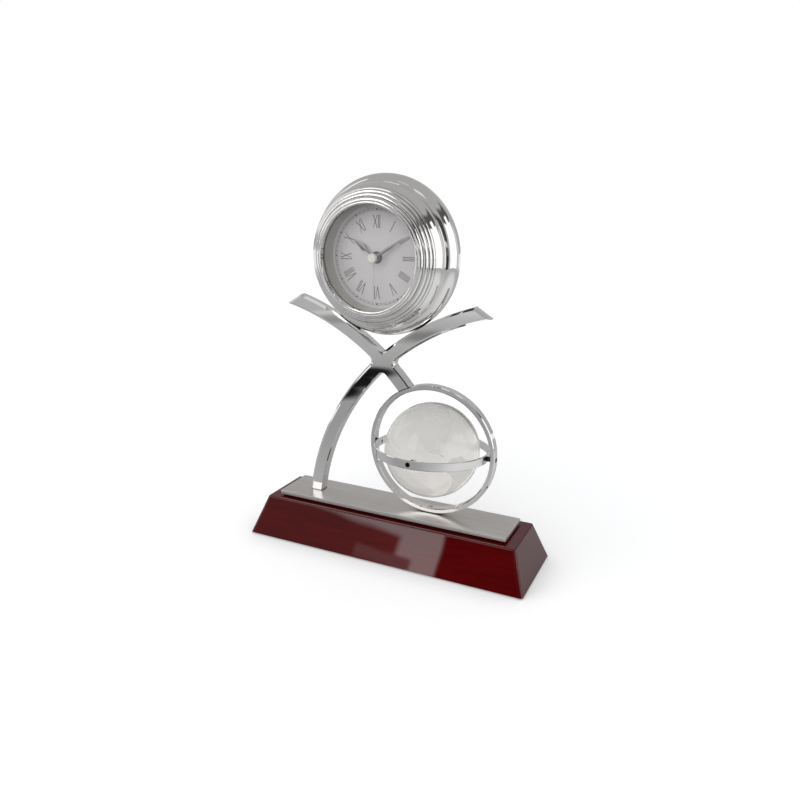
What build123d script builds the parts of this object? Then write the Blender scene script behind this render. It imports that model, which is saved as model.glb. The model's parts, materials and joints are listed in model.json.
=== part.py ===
from build123d import *
import math
import os

# Millimetres. X runs along the base to the right, Y to the back and Z up.
# The origin is under the middle of the felt, on the surface that the clock stands on.

# Fits and cuts
running_gap = 0.05
thread_gap = 0.03
slip_gap = 0.10
seat_gap = 0.02
screw_clearance = 0.25
cut_overrun = 1.0

# Wooden base with its felt
felt_thickness = 1.0
felt_inset = 3.0
base_length = 193.5
base_depth = 59.4
base_end_slope = 8.8
base_side_slope = 9.85
base_height = 25.0
base_corner = 2.0
base_edge = 1.0

# Metal plate on its dark pad
pad_thickness = 1.4
pad_inset = 2.2
plate_end_margin = 7.15
plate_side_margin = 4.4
plate_thickness = 2.4
plate_corner = 0.8
plate_edge = 0.35

# Globe, gimbal ring and upright ring, each inside the next
globe_radius = 30.0
globe_gap = 5.3
gimbal_wall = 1.3
gimbal_height = 5.3
gimbal_bevel = 0.3
gimbal_tilt = 3.75
gimbal_gap = 2.5
ring_wall = 3.1
ring_depth = 6.0
ring_bevel = 0.5
pin_bore_depth = 4.0

# Crossing frame: two arcs of one radius, mirrored about the crossing
foot_inset = 21.47
foot_reach = 51.23
cross_height = 96.03
ring_reach = 33.5
arm_radius = 159.0
arm_width = 9.0
arm_depth = 7.2
arm_outer_bevel = 1.4
arm_inner_bevel = 0.5
tip_top_reach = 70.0
tip_low_reach = 78.3
notch_radius = 3.2

# Screws
screw_radius = 1.5
screw_head_radius = 2.75
screw_head_height = 3.0
socket_radius = 1.45
socket_depth = 1.5
foot_screw_length = 25.0
foot_screw_grip = 8.0
ring_screw_length = 20.0
arm_screw_grip = 5.0
countersunk_height = 1.6
dog_radius = 1.0
grub_socket_radius = 0.9
grub_socket_depth = 1.2
pin_shoulder_gap = 0.3
driver_share = 0.7
driver_depth_share = 0.6
head_edge_share = 0.3

# Drum case
case_crest_radius = 48.0
case_crest_place = 1.0
case_crest_land = 1.2
case_crest_wall = 5.6
case_front = 16.0
case_rear = 12.5
case_wall = 2.0
case_groove_drop = 4.8
case_groove_depth = 0.6
case_groove_width = 1.6
case_groove_place = 8.2
case_front_drop = 2.9
case_front_flat = 1.9
case_waist_drop = 3.4
case_waist_place = 7.0
case_rear_drop = 3.7
case_rear_flat = 1.3
case_screw_radius = 1.25
case_screw_head_radius = 2.1
case_screw_head_height = 1.3

# Bezel, glass and inner rim
bezel_set_back = 0.1
bead_widths = (1.7, 2.4, 2.4, 1.7, 1.3)
bead_falls = (0.2, 1.5, 1.5, 1.8, 1.9)
bead_round_share = 0.22
glass_lip = 2.3
glass_sink = 2.6
glass_thickness = 1.5
rim_step = 0.2
rim_taper = 0.8
rim_depth = 8.3

# Dial and its holder
dial_thickness = 0.6
dial_hole_gap = 0.1
dial_edge_gap = 0.45
holder_overlap = 1.0
holder_thickness = 4.0
holder_rim_wall = 0.95
post_radius = 3.0
post_inset = 3.5
post_count = 4
small_screw_radius = 1.0
small_screw_head_radius = 1.9
small_screw_head_height = 1.2
small_screw_grip = 5.0
bezel_screw_angle = 18.0

# Rear cover
cover_thickness = 1.6
cover_recess = 0.5
well_wall = 1.6

# Movement housing and battery
movement_margin = 11.4
movement_corner = 5.0
movement_wall = 1.2
movement_gap = 0.2
movement_cover_thickness = 1.2
nose_wall = 0.95
nose_height = 0.5
battery_radius = 7.15
battery_nub_radius = 2.6
battery_nub_length = 1.3
bay_gap = 0.9
contact_thickness = 0.4
contact_width = 7.0
contact_reach = 1.55

# Hands and their arbors
second_arbor_radius = 0.6
minute_tube_wall = 0.95
hour_tube_wall = 0.85
hand_thickness = 0.4
hour_hand_lift = 1.6
hand_step = 1.0
hub_wall = 0.9
hour_hand_length = 18.9
hour_hand_width = 3.6
hour_belly_share = 0.53
hour_waist_share = 0.36
minute_hand_length = 24.5
minute_hand_width = 2.8
minute_belly_share = 0.52
minute_waist_share = 0.8
second_hand_length = 26.4
second_hand_width = 0.5
cap_radius = 2.7
cap_height = 2.2
cap_edge = 0.3
hour_hand_angle = 304.8
minute_hand_angle = 57.6
second_hand_angle = 180.0

# Wheels of the movement: tooth counts, modules and their shape
hour_wheel_teeth = 40
intermediate_pinion_teeth = 10
intermediate_teeth = 36
minute_pinion_teeth = 12
knob_teeth = 18
minute_wheel_teeth = 64
third_pinion_teeth = 8
third_wheel_teeth = 60
second_pinion_teeth = 8
second_wheel_teeth = 60
step_pinion_teeth = 12
step_wheel_teeth = 36
rotor_teeth = 6
intermediate_module = 0.4
third_module = 0.25
second_module = 0.235
step_module = 0.2
tooth_tip_share = 0.85
tooth_root_share = 1.15
tooth_tip_width_share = 0.1
tooth_root_width_share = 0.29

# Heights and arbors of the movement
wheel_thickness = 0.7
hour_wheel_gap = 0.9
wheel_step = 1.2
pinion_reach = 0.2
bridge_gap = 0.4
bridge_thickness = 0.5
third_wheel_step = 1.9
second_wheel_step = 1.5
step_wheel_step = 1.4
rear_room = 1.4
wheel_post_radius = 0.7
third_arbor_radius = 0.45
step_arbor_radius = 0.4
rotor_arbor_radius = 0.3
arbor_hold = 0.6
boss_wall = 0.5
boss_height = 0.9
third_boss_gap = 0.3
spacer_radius = 1.5
spacer_inset = 2.7

# Motor, circuit board and setting knob
step_angle = -30.0
rotor_angle = 0.0
magnet_radius = 1.5
magnet_gap = 0.5
magnet_rise = 0.1
magnet_height = 1.4
stator_thickness = 0.6
stator_wall = 0.9
stator_gap = 0.6
stator_bar = 2.0
stator_core = 2.2
stator_reach = 7.47
stator_rise = 6.0
stator_lift = 0.3
stator_post_radius = 0.9
coil_radius = 2.4
coil_gap = 0.1
coil_end_gap = 0.5
board_length = 18.0
board_width = 12.0
board_thickness = 0.8
board_lift = 1.0
board_x = -12.0
board_y = 17.0
board_post_inset = 2.0
board_post_radius = 1.2
knob_angle = 60.0
knob_radius = 6.0
knob_height = 4.0
knob_stem_radius = 1.5
knob_ribs = 18
knob_rib_radius = 0.6

# Places worked out from the sizes above
base_bottom = felt_thickness
base_top = base_bottom + base_height
base_top_length = base_length - 2 * base_end_slope
base_top_depth = base_depth - 2 * base_side_slope
plate_length = base_top_length - 2 * plate_end_margin
plate_depth = base_top_depth - 2 * plate_side_margin
plate_bottom = base_top + pad_thickness
plate_top = plate_bottom + plate_thickness
stack_height = plate_top - base_bottom

foot_x = foot_inset - plate_length / 2
cross_x = foot_x + foot_reach
cross_z = plate_top + cross_height
chord_half = math.hypot(foot_reach, cross_height) / 2
centre_share = math.sqrt(arm_radius**2 - chord_half**2) / (2 * chord_half)
rising_centre_x = foot_x + foot_reach / 2 + cross_height * centre_share
arm_centre_z = plate_top + cross_height / 2 - foot_reach * centre_share
arm_centre_reach = rising_centre_x - cross_x
falling_centre_x = cross_x - arm_centre_reach
cross_angle = math.degrees(math.atan2(cross_z - arm_centre_z, cross_x - rising_centre_x))
tip_top_angle = cross_angle - math.degrees(tip_top_reach / arm_radius)
tip_low_angle = cross_angle - math.degrees(tip_low_reach / arm_radius)

gimbal_inner_radius = globe_radius + globe_gap
gimbal_outer_radius = gimbal_inner_radius + gimbal_wall
ring_inner_radius = gimbal_outer_radius + gimbal_gap
ring_outer_radius = ring_inner_radius + ring_wall
ring_x = cross_x + ring_reach
ring_z = plate_top + ring_outer_radius

case_reach = arm_radius + arm_width / 2 + case_crest_radius + seat_gap
clock_x = cross_x
clock_z = arm_centre_z + math.sqrt(case_reach**2 - arm_centre_reach**2)
case_hollow_radius = case_crest_radius - case_crest_wall
case_groove_edge = case_crest_radius - case_groove_drop
case_groove_front = case_groove_place + case_groove_width / 2
case_groove_rear = case_groove_place - case_groove_width / 2
case_front_corner = case_groove_edge - case_front_drop
case_front_opening = case_front_corner - case_front_flat
case_waist_radius = case_crest_radius - case_waist_drop
case_rear_corner = case_waist_radius - case_rear_drop
case_rear_opening = case_rear_corner - case_rear_flat

bezel_outer_radius = case_front_corner - bezel_set_back
bezel_inner_radius = bezel_outer_radius - sum(bead_widths)
bezel_front = case_front + sum(bead_falls)
spigot_radius = case_front_opening - running_gap
glass_radius = bezel_inner_radius + glass_lip
glass_front = bezel_front - glass_sink
glass_rear = glass_front - glass_thickness
rim_front_radius = bezel_inner_radius + rim_step
rim_rear_radius = rim_front_radius - rim_taper
bezel_screw_place = (glass_radius + slip_gap + spigot_radius) / 2

dial_front = glass_rear - rim_depth
dial_rear = dial_front - dial_thickness
holder_radius = case_front_opening + holder_overlap
holder_rear = dial_rear - holder_thickness
holder_rim_front = case_front - case_wall
dial_radius = holder_radius - holder_rim_wall - dial_edge_gap
cover_radius = case_rear_opening - slip_gap
cover_rear = cover_recess - case_rear
cover_front = cover_rear + cover_thickness
post_place = cover_radius - post_inset

minute_tube_bore = second_arbor_radius + running_gap
minute_tube_radius = minute_tube_bore + minute_tube_wall
hour_tube_bore = minute_tube_radius + running_gap
hour_tube_radius = hour_tube_bore + hour_tube_wall
nose_radius = hour_tube_radius + running_gap + nose_wall
hour_hub_radius = hour_tube_radius + hub_wall
minute_hub_radius = minute_tube_radius + hub_wall
hour_hand_height = dial_front + hour_hand_lift
minute_hand_height = hour_hand_height + hand_thickness + hand_step
second_hand_height = minute_hand_height + hand_thickness + hand_step
cap_rear = second_hand_height + hand_thickness

movement_front = dial_rear
cavity_front = movement_front - movement_wall
hour_wheel_front = cavity_front - hour_wheel_gap
hour_wheel_rear = hour_wheel_front - wheel_thickness
intermediate_front = hour_wheel_rear - wheel_step
intermediate_rear = intermediate_front - wheel_thickness
bridge_front = intermediate_rear - bridge_gap
bridge_rear = bridge_front - bridge_thickness
minute_wheel_front = bridge_rear - bridge_gap
minute_wheel_rear = minute_wheel_front - wheel_thickness
third_wheel_front = minute_wheel_rear - third_wheel_step
third_wheel_rear = third_wheel_front - wheel_thickness
second_wheel_front = third_wheel_rear - second_wheel_step
second_wheel_rear = second_wheel_front - wheel_thickness
step_wheel_front = second_wheel_rear - step_wheel_step
step_wheel_rear = step_wheel_front - wheel_thickness
movement_floor = step_wheel_rear - rear_room
movement_rear = movement_floor - movement_cover_thickness
stator_rear = step_wheel_front + stator_lift
stator_middle = stator_rear + stator_thickness / 2

intermediate_distance = intermediate_module * (minute_pinion_teeth + intermediate_teeth) / 2
hour_module = 2 * intermediate_distance / (intermediate_pinion_teeth + hour_wheel_teeth)
third_distance = third_module * (second_pinion_teeth + third_wheel_teeth) / 2
minute_module = 2 * third_distance / (third_pinion_teeth + minute_wheel_teeth)
step_distance = second_module * (second_wheel_teeth + step_pinion_teeth) / 2
rotor_distance = step_module * (step_wheel_teeth + rotor_teeth) / 2
knob_distance = intermediate_module * (intermediate_teeth + knob_teeth) / 2
step_x = step_distance * math.cos(math.radians(step_angle))
step_y = step_distance * math.sin(math.radians(step_angle))
rotor_x = step_x + rotor_distance * math.cos(math.radians(rotor_angle))
rotor_y = step_y + rotor_distance * math.sin(math.radians(rotor_angle))
knob_x = intermediate_distance + knob_distance * math.cos(math.radians(knob_angle))
knob_z = knob_distance * math.sin(math.radians(knob_angle))

movement_width = 2 * (holder_radius - movement_margin)
movement_half = movement_width / 2
movement_inside = movement_half - movement_wall
bay_height = 2 * (battery_radius + bay_gap)
bay_z = bay_height / 2 - movement_inside
bay_wall_top = bay_height + movement_wall - movement_inside
battery_length = 2 * (movement_inside - contact_reach) - battery_nub_length
battery_depth = cavity_front - battery_radius - slip_gap
spacer_places = (
    (spacer_inset - movement_inside, bay_wall_top + spacer_inset),
    (movement_inside - spacer_inset, bay_wall_top + spacer_inset),
    (spacer_inset - movement_inside, movement_inside - spacer_inset),
    (movement_inside - spacer_inset, movement_inside - spacer_inset),
)

on_clock = Pos(clock_x, 0, clock_z) * Rot(X=90)
on_globe = Pos(ring_x, 0, ring_z) * Rot(X=-gimbal_tilt)


# Helpers

def turned(*edges):
    """Turns a closed outline, drawn as radius and height, about the upright axis."""
    outline = Curve() + list(edges)
    return revolve(Plane.XZ * make_face(outline.edges()), Axis.Z)


def outline_of(points):
    """Closed straight outline through points of radius and height."""
    return Polyline(*points, close=True)


def disc(radius, low, high):
    """Upright cylinder from one height to another."""
    return Pos(0, 0, low) * Cylinder(radius, high - low, align=(Align.CENTER, Align.CENTER, Align.MIN))


def tube(outer, inner, low, high):
    """Upright tube from one height to another."""
    return disc(outer, low, high) - disc(inner, low - cut_overrun, high + cut_overrun)


def rounded_prism(width, height, corner, low, high):
    """Upright prism with rounded corners from one height to another."""
    sketch = RectangleRounded(width, height, corner)
    return extrude(Pos(0, 0, low) * sketch, high - low)


def along(origin, direction):
    """Frame whose upright axis starts at origin and follows direction."""
    return Plane(origin=origin, z_dir=direction).location


def hexagon(radius, low, high):
    """Hexagonal prism for a driver socket."""
    return extrude(Pos(0, 0, low) * RegularPolygon(radius, 6), high - low)


def cap_screw(length):
    """Cylinder-head screw, its head below zero and its shank upward."""
    head = disc(screw_head_radius, -screw_head_height, 0)
    socket = hexagon(socket_radius, -screw_head_height - cut_overrun, socket_depth - screw_head_height)
    return head + disc(screw_radius, 0, length) - socket


def countersunk_screw(radius, head_radius, head_height, length):
    """Flat-head screw whose head face lies at zero and whose point is upward."""
    head = turned(outline_of([(0, 0), (head_radius, 0), (radius, head_height), (0, head_height)]))
    socket = hexagon(radius * driver_share, -cut_overrun, head_height * driver_depth_share)
    return head + disc(radius, 0, length) - socket


def countersunk_bore(radius, head_radius, head_height, length):
    """Cut for a flat-head screw, open below zero."""
    cone = turned(outline_of([(0, 0), (head_radius, 0), (radius, head_height), (0, head_height)]))
    return cone + disc(head_radius, -cut_overrun, 0) + disc(radius, 0, length)


def pan_screw(length):
    """Small pan-head screw, its head below zero and its shank upward."""
    head = disc(small_screw_head_radius, -small_screw_head_height, 0)
    head = chamfer(head.edges().sort_by(Axis.Z)[0], small_screw_head_height * head_edge_share)
    floor = small_screw_head_height * (driver_depth_share - 1)
    socket = hexagon(small_screw_radius * driver_share, -small_screw_head_height - cut_overrun, floor)
    return head + disc(small_screw_radius, 0, length) - socket


# Base group

def make_felt():
    sheet = Rectangle(base_length - 2 * felt_inset, base_depth - 2 * felt_inset)
    return extrude(sheet, felt_thickness)


def base_screw_bore(x, length, grip):
    """Counterbored way for one screw up through the wood."""
    seat = base_bottom + stack_height + grip - length
    shank = disc(screw_radius + screw_clearance, seat - cut_overrun, plate_top + cut_overrun)
    head = disc(screw_head_radius + screw_clearance, base_bottom - cut_overrun, seat)
    return Pos(x, 0, 0) * (shank + head)


def both_base_bores():
    foot = base_screw_bore(foot_x, foot_screw_length, foot_screw_grip)
    ring = base_screw_bore(ring_x, ring_screw_length, ring_wall)
    return foot + ring


def make_base_block():
    low = Pos(0, 0, base_bottom) * Rectangle(base_length, base_depth)
    high = Pos(0, 0, base_top) * Rectangle(base_top_length, base_top_depth)
    block = loft([low.face(), high.face()])
    sloping = block.edges().filter_by(Axis.X, reverse=True).filter_by(Axis.Y, reverse=True)
    block = fillet(sloping, base_corner)
    block = fillet(block.edges().group_by(Axis.Z)[-1], base_edge)
    return block - both_base_bores()


def make_pad():
    sheet = Rectangle(plate_length - 2 * pad_inset, plate_depth - 2 * pad_inset)
    return extrude(Pos(0, 0, base_top) * sheet, pad_thickness) - both_base_bores()


def make_plate():
    sheet = RectangleRounded(plate_length, plate_depth, plate_corner)
    plate = extrude(Pos(0, 0, plate_bottom) * sheet, plate_thickness)
    plate = chamfer(plate.faces().sort_by(Axis.Z)[-1].edges(), plate_edge)
    return plate - both_base_bores()


def make_foot_screw():
    seat = base_bottom + stack_height + foot_screw_grip - foot_screw_length
    return Pos(foot_x, 0, seat) * cap_screw(foot_screw_length)


def make_ring_screw():
    seat = base_bottom + stack_height + ring_wall - ring_screw_length
    return Pos(ring_x, 0, seat) * cap_screw(ring_screw_length - thread_gap)


# Crossing frame

def polar(centre_x, centre_z, radius, angle):
    """Point at an angle, counted from the right, on a circle in the frame's plane."""
    turn = math.radians(angle)
    return centre_x + radius * math.cos(turn), centre_z + radius * math.sin(turn)


def rising_arm_outline():
    """Arm from the foot on the left up to the right tip, in the frame's plane."""
    outer = arm_radius + arm_width / 2
    inner = arm_radius - arm_width / 2
    band = Pos(rising_centre_x, arm_centre_z) * (Circle(outer) - Circle(inner))
    top = polar(rising_centre_x, arm_centre_z, outer, tip_top_angle)
    low = polar(rising_centre_x, arm_centre_z, inner, tip_low_angle)
    far_top = polar(rising_centre_x, arm_centre_z, 2 * outer, tip_top_angle)
    left = rising_centre_x - 2 * outer
    window = make_face(
        Polyline(
            (left, plate_top),
            (rising_centre_x - inner / 2, plate_top),
            low,
            top,
            far_top,
            (left, far_top[1]),
            close=True,
        )
    )
    return band & window


def falling_arm_outline():
    """Arm from the left tip across to the upright ring, in the frame's plane."""
    outer = arm_radius + arm_width / 2
    inner = arm_radius - arm_width / 2
    band = Pos(falling_centre_x, arm_centre_z) * (Circle(outer) - Circle(inner))
    top = polar(falling_centre_x, arm_centre_z, outer, 180 - tip_top_angle)
    low = polar(falling_centre_x, arm_centre_z, inner, 180 - tip_low_angle)
    far_top = polar(falling_centre_x, arm_centre_z, 2 * outer, 180 - tip_top_angle)
    right = falling_centre_x + 2 * outer
    window = make_face(
        Polyline(
            (right, ring_z),
            (falling_centre_x + inner / 2, ring_z),
            low,
            top,
            far_top,
            (right, far_top[1]),
            close=True,
        )
    )
    return (band & window) - Pos(ring_x, ring_z) * Circle(ring_outer_radius + seat_gap)


def near_crossing(vertex):
    reach = math.hypot(vertex.X - cross_x, vertex.Y - cross_z)
    return reach < 2 * arm_width


def frame_outline():
    """Both arms as one outline with three rounded notches and a sharp upper one."""
    outline = rising_arm_outline() + falling_arm_outline()
    corners = outline.vertices().filter_by(near_crossing).sort_by(Axis.Y)
    return fillet(corners[:-1], notch_radius)


def arm_end():
    """Where the falling arm's middle line meets the ring, and its angle on the ring."""
    gap_x = ring_x - falling_centre_x
    gap_z = ring_z - arm_centre_z
    reach = math.hypot(gap_x, gap_z)
    lean = math.atan2(gap_z, gap_x)
    spread = (arm_radius**2 + reach**2 - ring_outer_radius**2) / (2 * arm_radius * reach)
    angle = lean + math.acos(spread)
    x = falling_centre_x + arm_radius * math.cos(angle)
    z = arm_centre_z + arm_radius * math.sin(angle)
    return math.atan2(z - ring_z, x - ring_x)


def arm_screw_frame():
    """Frame of the screw from inside the ring into the falling arm's end."""
    angle = arm_end()
    out = (math.cos(angle), 0, math.sin(angle))
    start = (ring_x + ring_inner_radius * out[0], 0, ring_z + ring_inner_radius * out[2])
    return along(start, out)


def case_screw_frames():
    """Frames of the two screws from under the upper arms up into the drum."""
    frames = []
    for side in (-1, 1):
        centre_x = clock_x + side * arm_centre_reach
        reach = arm_radius - arm_width / 2
        lean_x = (clock_x - centre_x) / case_reach
        lean_z = (clock_z - arm_centre_z) / case_reach
        start = (centre_x + reach * lean_x, case_crest_place, arm_centre_z + reach * lean_z)
        frames.append(along(start, (lean_x, 0, lean_z)))
    return frames


def is_broad_bevel(edge):
    """Picks the edges of the convex arm sides and of both tip ends."""
    if edge.geom_type == GeomType.CIRCLE:
        return edge.radius > arm_radius
    return edge.center().Z > cross_z


def is_fine_bevel(edge):
    """Picks the edges of the concave arm sides and of the rounded notches."""
    if edge.geom_type != GeomType.CIRCLE:
        return False
    meets_ring = abs(edge.radius - ring_outer_radius) < arm_inner_bevel
    return edge.radius < arm_radius and not meets_ring


def make_cross_frame():
    outline = Plane.XZ * frame_outline()
    body = extrude(outline, arm_depth / 2, both=True)
    edges = body.faces().filter_by(Axis.Y).edges()
    body = chamfer(edges.filter_by(is_broad_bevel), arm_outer_bevel)
    edges = body.faces().filter_by(Axis.Y).edges()
    body = chamfer(edges.filter_by(is_fine_bevel), arm_inner_bevel)
    body -= Pos(foot_x, 0, plate_top) * disc(
        screw_radius + thread_gap, -cut_overrun, foot_screw_grip + cut_overrun
    )
    body -= arm_screw_frame() * disc(screw_radius + thread_gap, 0, ring_wall + arm_screw_grip + cut_overrun)
    for frame in case_screw_frames():
        body -= frame * countersunk_bore(
            case_screw_radius + slip_gap,
            case_screw_head_radius + slip_gap,
            case_screw_head_height,
            arm_width + cut_overrun,
        )
    return body


# Upright ring, gimbal ring and globe

def make_globe_ring():
    ring = tube(ring_outer_radius, ring_inner_radius, -ring_depth / 2, ring_depth / 2)
    ring = chamfer(ring.faces().filter_by(Axis.Z).edges(), ring_bevel)
    ring = Pos(ring_x, 0, ring_z) * Rot(X=90) * ring
    thread = disc(screw_radius + thread_gap, -cut_overrun, ring_wall + cut_overrun)
    ring -= Pos(ring_x, 0, plate_top) * thread
    ring -= arm_screw_frame() * countersunk_bore(
        screw_radius + slip_gap,
        screw_head_radius + slip_gap,
        countersunk_height,
        ring_wall + cut_overrun,
    )
    for side in (-1, 1):
        start = (ring_x + side * ring_inner_radius, 0, ring_z)
        ring -= along(start, (side, 0, 0)) * disc(
            screw_radius + thread_gap, -cut_overrun, ring_wall + cut_overrun
        )
    return ring


def make_arm_screw():
    sink = ring_inner_radius - math.sqrt(ring_inner_radius**2 - screw_head_radius**2)
    screw = countersunk_screw(
        screw_radius, screw_head_radius, countersunk_height, ring_wall + arm_screw_grip
    )
    return arm_screw_frame() * Pos(0, 0, sink) * screw


def grub_screw(far, shoulder, near):
    """Socket grub screw with a dog point, between radii far, shoulder and near."""
    body = disc(screw_radius, shoulder, far) + disc(dog_radius, near, shoulder)
    body -= hexagon(grub_socket_radius, far - grub_socket_depth, far + cut_overrun)
    return body


def make_pivot_screws():
    """Two pins on the ring's level line, on which the gimbal ring turns."""
    pins = []
    for side in (-1, 1):
        pin = grub_screw(
            ring_outer_radius - ring_bevel / 2,
            gimbal_outer_radius + pin_shoulder_gap,
            gimbal_inner_radius,
        )
        pins.append(along((ring_x, 0, ring_z), (side, 0, 0)) * pin)
    return Compound(children=pins)


def make_gimbal_ring():
    ring = tube(gimbal_outer_radius, gimbal_inner_radius, -gimbal_height / 2, gimbal_height / 2)
    ring = chamfer(ring.faces().filter_by(Axis.Z).edges(), gimbal_bevel)
    reach = gimbal_outer_radius + cut_overrun
    ring -= Rot(Y=90) * disc(dog_radius + running_gap, -reach, reach)
    ring -= Rot(X=90) * disc(screw_radius + thread_gap, -reach, reach)
    return on_globe * ring


def make_globe_pins():
    """Two pins screwed through the gimbal ring, on which the globe turns."""
    pins = []
    for side in (-1, 1):
        pin = grub_screw(
            gimbal_outer_radius - gimbal_bevel / 2,
            globe_radius + pin_shoulder_gap,
            globe_radius - pin_bore_depth + pin_shoulder_gap,
        )
        pins.append(on_globe * along((0, 0, 0), (0, side, 0)) * pin)
    return Compound(children=pins)


def make_globe():
    ball = Sphere(globe_radius)
    for side in (-1, 1):
        bore = disc(dog_radius + running_gap, globe_radius - pin_bore_depth, globe_radius + cut_overrun)
        ball -= along((0, 0, 0), (0, side, 0)) * bore
    return on_globe * ball


# Drum case, drawn about its own axis with the dial side up

def case_outer_edges():
    """Outside of the drum: front form, narrow groove, high bead and rear form."""
    crest_front = case_crest_land / 2 - case_crest_place
    crest_rear = -case_crest_land / 2 - case_crest_place
    return [
        TangentArc(
            (case_groove_edge, case_groove_front), (case_front_corner, case_front), tangent=(0, 1)
        ),
        ThreePointArc(
            (case_groove_edge, case_groove_front),
            (case_groove_edge - case_groove_depth, case_groove_place),
            (case_groove_edge, case_groove_rear),
        ),
        TangentArc((case_crest_radius, crest_front), (case_groove_edge, case_groove_rear), tangent=(0, 1)),
        Line((case_crest_radius, crest_front), (case_crest_radius, crest_rear)),
        TangentArc((case_crest_radius, crest_rear), (case_waist_radius, -case_waist_place), tangent=(0, -1)),
        TangentArc((case_waist_radius, -case_waist_place), (case_rear_corner, -case_rear), tangent=(0, -1)),
    ]


def make_case_body():
    inner_front = case_front - case_wall
    inner_rear = case_wall - case_rear
    rise = case_hollow_radius - case_rear_opening
    inside = Polyline(
        (case_rear_corner, -case_rear),
        (case_rear_opening, -case_rear),
        (case_rear_opening, inner_rear),
        (case_hollow_radius, inner_rear + rise),
        (case_hollow_radius, case_groove_rear - rise),
        (case_rear_opening, case_groove_rear),
        (case_rear_opening, inner_front),
        (case_front_opening, inner_front),
        (case_front_opening, case_front),
        (case_front_corner, case_front),
    )
    shell = on_clock * turned(*case_outer_edges(), inside)
    bore = disc(case_screw_radius + thread_gap, 0, arm_width + case_crest_wall + cut_overrun)
    for frame in case_screw_frames():
        shell -= frame * bore
    return shell


def make_case_screws():
    length = arm_width + case_crest_wall
    screws = []
    for frame in case_screw_frames():
        screw = countersunk_screw(case_screw_radius, case_screw_head_radius, case_screw_head_height, length)
        screws.append(frame * screw)
    return Compound(children=screws)


def bezel_bead_edges():
    """Half-round beads that step down outward to the front of the drum."""
    feet = [(bezel_inner_radius, bezel_front)]
    edges = []
    for width, fall in zip(bead_widths, bead_falls):
        radius, height = feet[-1]
        feet.append((radius + width, height - fall))
        crest_radius = radius + width / 2 + bead_round_share * fall
        crest_height = height - fall / 2 + bead_round_share * width
        edges.append(ThreePointArc(feet[-2], (crest_radius, crest_height), feet[-1]))
    return edges


def make_bezel():
    bore = glass_radius + slip_gap
    rest = Polyline(
        (bezel_outer_radius, case_front),
        (spigot_radius, case_front),
        (spigot_radius, dial_front),
        (bore, dial_front),
        (bore, glass_front),
        (bezel_inner_radius, glass_front),
        (bezel_inner_radius, bezel_front),
    )
    ring = turned(*bezel_bead_edges(), rest)
    for place in bezel_screw_places():
        ring -= place * disc(
            small_screw_radius + thread_gap,
            dial_front - cut_overrun,
            dial_front + small_screw_grip + slip_gap,
        )
    return on_clock * ring


def bezel_screw_places():
    places = []
    for angle in (bezel_screw_angle, 180 - bezel_screw_angle, 180 + bezel_screw_angle, -bezel_screw_angle):
        turn = math.radians(angle)
        places.append(Pos(bezel_screw_place * math.cos(turn), bezel_screw_place * math.sin(turn), 0))
    return places


def make_glass():
    return on_clock * disc(glass_radius, glass_rear, glass_front)


def make_inner_rim():
    ring = turned(
        outline_of(
            [
                (rim_rear_radius, dial_front),
                (glass_radius, dial_front),
                (glass_radius, glass_rear),
                (rim_front_radius, glass_rear),
            ]
        )
    )
    return on_clock * ring


def make_dial():
    sheet = disc(dial_radius, dial_rear, dial_front)
    sheet -= disc(nose_radius + dial_hole_gap, dial_rear - cut_overrun, dial_front + cut_overrun)
    for place in bezel_screw_places():
        sheet -= place * disc(
            small_screw_radius + screw_clearance, dial_rear - cut_overrun, dial_front + cut_overrun
        )
    return on_clock * sheet


def post_places():
    places = []
    for index in range(post_count):
        turn = 2 * math.pi * index / post_count
        places.append(Pos(post_place * math.cos(turn), post_place * math.sin(turn), 0))
    return places


def make_holder():
    """Carrier behind the dial: clamps the bezel to the case and holds the rear cover."""
    body = disc(holder_radius, holder_rear, dial_rear)
    body += tube(holder_radius, holder_radius - holder_rim_wall, dial_rear, holder_rim_front)
    window = movement_width + 2 * movement_gap
    body -= rounded_prism(
        window, window, movement_corner + movement_gap, holder_rear - cut_overrun, dial_rear + cut_overrun
    )
    for place in post_places():
        body += place * disc(post_radius, cover_front, holder_rear)
        body -= place * disc(
            small_screw_radius + thread_gap, cover_front - cut_overrun, cover_front + small_screw_grip + slip_gap
        )
    for place in bezel_screw_places():
        body -= place * disc(
            small_screw_radius + screw_clearance, holder_rear - cut_overrun, dial_rear + cut_overrun
        )
    return on_clock * body


def make_bezel_screws():
    length = dial_front + small_screw_grip - holder_rear
    screws = [on_clock * place * Pos(0, 0, holder_rear) * pan_screw(length) for place in bezel_screw_places()]
    return Compound(children=screws)


def make_rear_cover():
    """Back plate with a square well down to the back of the movement."""
    plate = disc(cover_radius, cover_rear, cover_front)
    outer = rounded_prism(movement_width, movement_width, movement_corner, cover_front, movement_rear)
    inside = movement_width - 2 * well_wall
    inner = rounded_prism(
        inside, inside, movement_corner - well_wall, cover_rear - cut_overrun, movement_rear + cut_overrun
    )
    body = plate + outer - inner
    for place in post_places():
        body -= place * disc(
            small_screw_radius + screw_clearance, cover_rear - cut_overrun, cover_front + cut_overrun
        )
        body -= place * disc(
            small_screw_head_radius + screw_clearance,
            cover_rear - cut_overrun,
            cover_front - cover_thickness / 2,
        )
    return on_clock * body


def make_cover_screws():
    seat = cover_front - cover_thickness / 2
    length = small_screw_grip + cover_thickness / 2
    screws = [on_clock * place * Pos(0, 0, seat) * pan_screw(length) for place in post_places()]
    return Compound(children=screws)


# Movement housing, battery and motor

def wheel_places():
    """Where each arbor of the movement stands beside the hands, with its radius."""
    return (
        (-third_distance, 0, third_arbor_radius),
        (step_x, step_y, step_arbor_radius),
        (rotor_x, rotor_y, rotor_arbor_radius),
        (knob_x, knob_z, knob_stem_radius),
    )


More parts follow.
